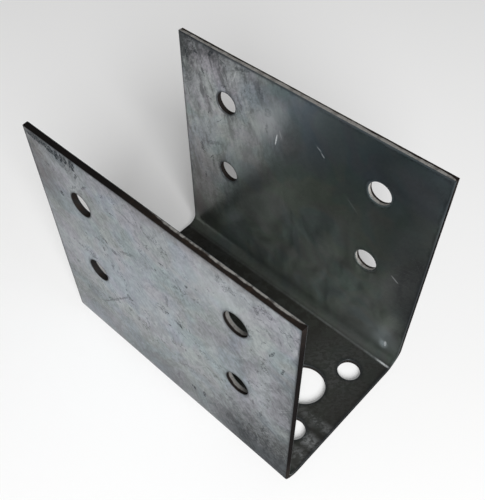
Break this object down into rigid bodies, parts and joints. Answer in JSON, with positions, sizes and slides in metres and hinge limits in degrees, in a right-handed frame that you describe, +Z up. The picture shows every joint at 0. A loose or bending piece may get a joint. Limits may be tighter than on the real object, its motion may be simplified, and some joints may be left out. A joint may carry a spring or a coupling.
{
  "type": "u bracket",
  "caption": "Folded steel channel bracket: a flat base between two upright flanges, with screw holes in the flanges and anchor and screw holes in the base.",
  "frame": {"origin": "middle of the underside of the base", "axes": "+X across the channel from one flange to the other, +Y along the two folds, +Z up out of the channel"},
  "size_m": [0.062, 0.1, 0.09],
  "materials": {
    "galvanised_steel": "galvanised, dulled and lightly scratched"
  },
  "bodies": {
    "root": {"folded_sheet": "galvanised_steel"}
  },
  "joints": []
}
